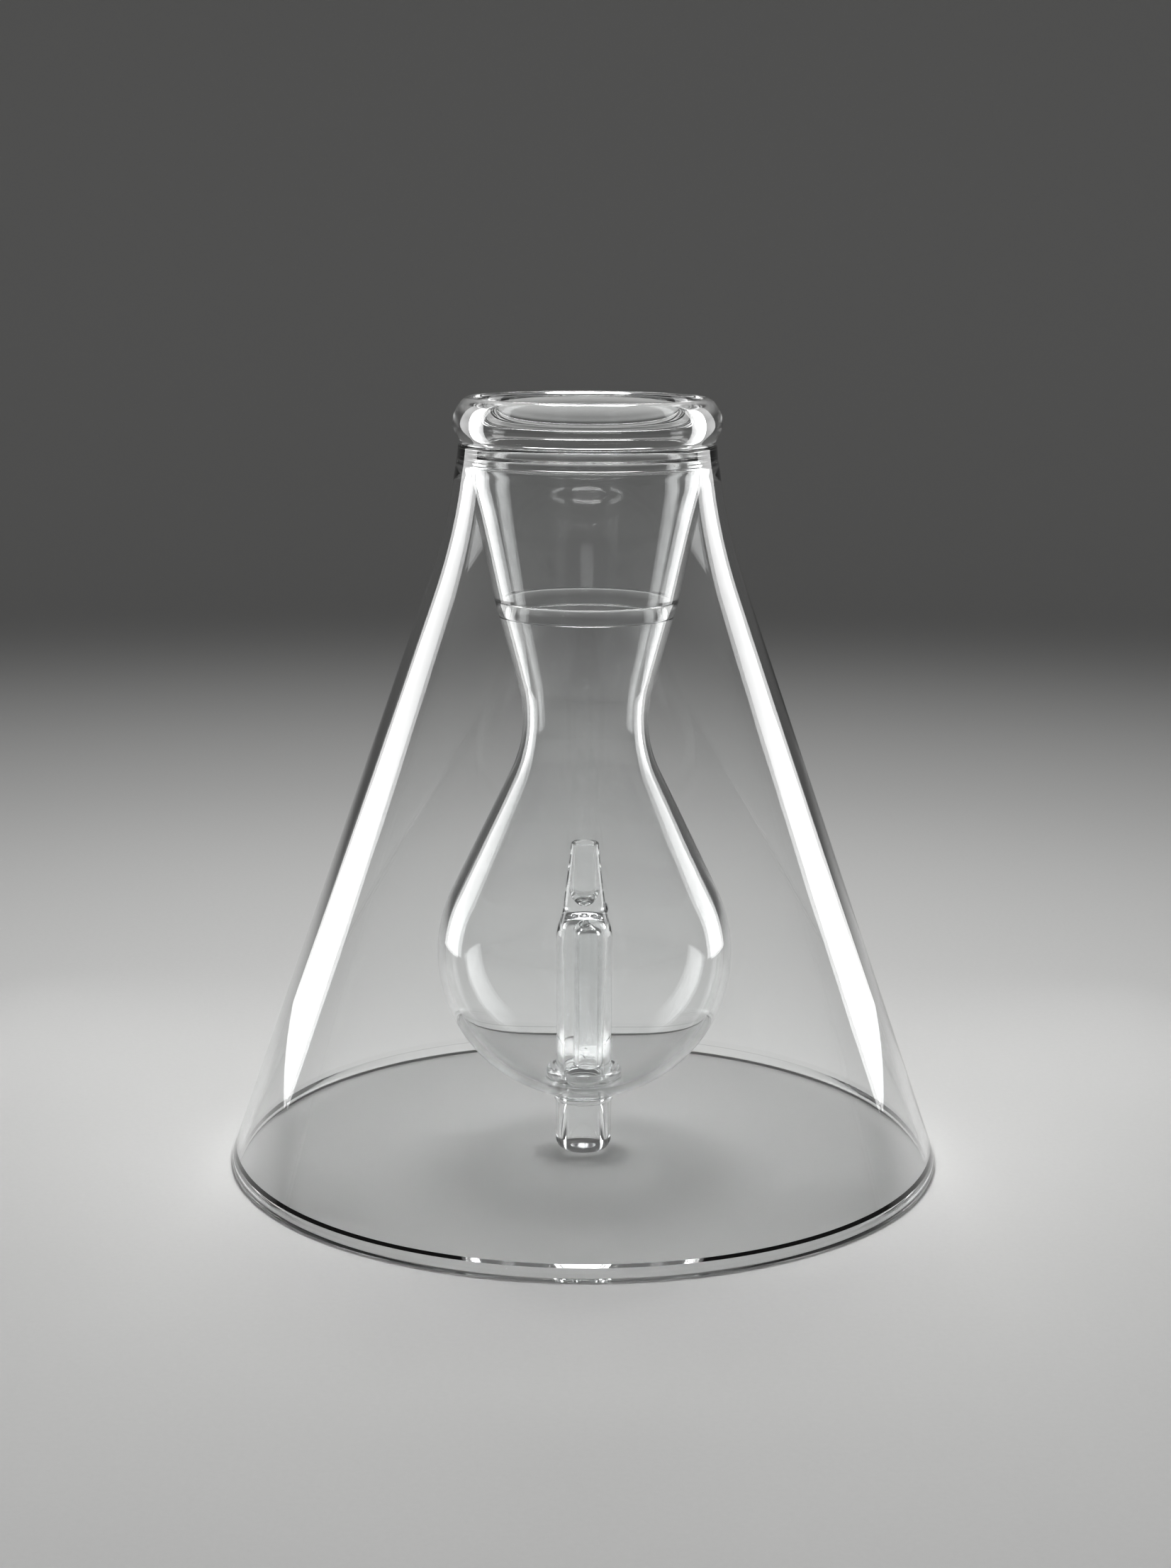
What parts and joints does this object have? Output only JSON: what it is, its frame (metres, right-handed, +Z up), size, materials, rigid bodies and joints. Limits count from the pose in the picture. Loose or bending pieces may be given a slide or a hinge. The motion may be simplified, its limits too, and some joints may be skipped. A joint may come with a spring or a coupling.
{
  "type": "pour over dripper",
  "caption": "Clear glass pour-over dripper: hourglass brewing vessel with a siphon in its bulb, carried inside a conical glass skirt that stands on a rounded foot.",
  "frame": {"origin": "centre of the foot's resting circle, on the surface that the dripper stands on", "axes": "+Z up along the axis that the skirt, vessel and outlet share, which is the longest extent; +X points to the side that the standpipe leans to"},
  "size_m": [0.16, 0.16, 0.171],
  "materials": {
    "skirt_glass": "clear blown borosilicate",
    "vessel_glass": "clear blown borosilicate",
    "tube_glass": "clear drawn borosilicate tube",
    "seal_glass": "clear borosilicate, melted seal with small ripples and seeds",
    "fire_polished_glass": "clear borosilicate, fire-polished edge"
  },
  "bodies": {
    "root": {"foot_rim": "fire_polished_glass", "skirt_cone": "skirt_glass", "neck_collar": "seal_glass", "lip_bead": "fire_polished_glass", "ring_seal": "seal_glass", "filter_cup": "vessel_glass", "cup_joint_band": "seal_glass", "waist_funnel": "vessel_glass", "brew_bulb": "vessel_glass", "floor_flange": "seal_glass", "floor_ridge": "seal_glass", "siphon_tube": "tube_glass", "siphon_cap": "tube_glass", "standpipe": "tube_glass", "standpipe_weld": "seal_glass", "outlet_tube": "tube_glass", "outlet_tip": "fire_polished_glass"}
  },
  "joints": []
}
